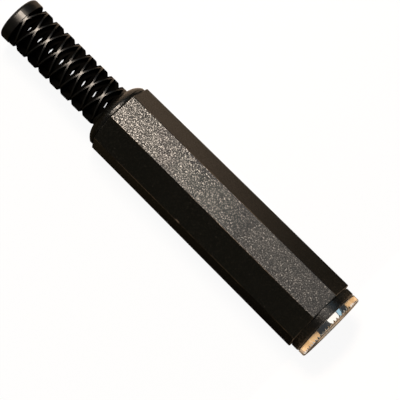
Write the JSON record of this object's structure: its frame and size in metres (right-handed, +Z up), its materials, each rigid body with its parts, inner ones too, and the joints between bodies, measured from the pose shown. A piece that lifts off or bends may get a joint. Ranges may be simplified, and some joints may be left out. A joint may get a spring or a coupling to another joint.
{
  "type": "inline stereo jack socket",
  "caption": "Inline cable socket for a 6.35 mm stereo jack plug: drafted octagonal cover, serrated plated bush, sprung contacts riveted to a frame, slotted strain relief sleeve.",
  "frame": {"origin": "centre of the bush's front face, where a plug's shoulder comes to rest", "axes": "+X along the jack's axis out of the mouth, +Z up with one flat of the barrel on top and one underneath, +Y to the left when looking out of the mouth"},
  "size_m": [0.0787, 0.0138, 0.0138],
  "materials": {
    "cover_plastic": "spark-textured black moulding",
    "sleeve_plastic": "glossy black soft moulding",
    "plated_bush": "turned and nickel plated",
    "plated_frame": "pressed and nickel plated",
    "spring_bronze": "silvered spring bronze",
    "insulator": "brown laminated board",
    "rivet_brass": "plain brass"
  },
  "bodies": {
    "shell": {"cover": "cover_plastic", "strain_relief": "sleeve_plastic"},
    "insert": {"front_bush": "plated_bush", "sleeve_frame": "plated_frame", "ring_spring": "spring_bronze", "tip_spring": "spring_bronze", "contact_block": "insulator", "lower_wafer": "insulator", "upper_wafer": "insulator", "clamp_plate": "plated_frame", "rivets": "rivet_brass", "rivet_sleeves": "insulator"}
  },
  "joints": [
    {"name": "insert_draw", "type": "slide", "parent": "shell", "child": "insert", "axis": [1, 0, 0], "range_m": [0, 0.055]}
  ]
}
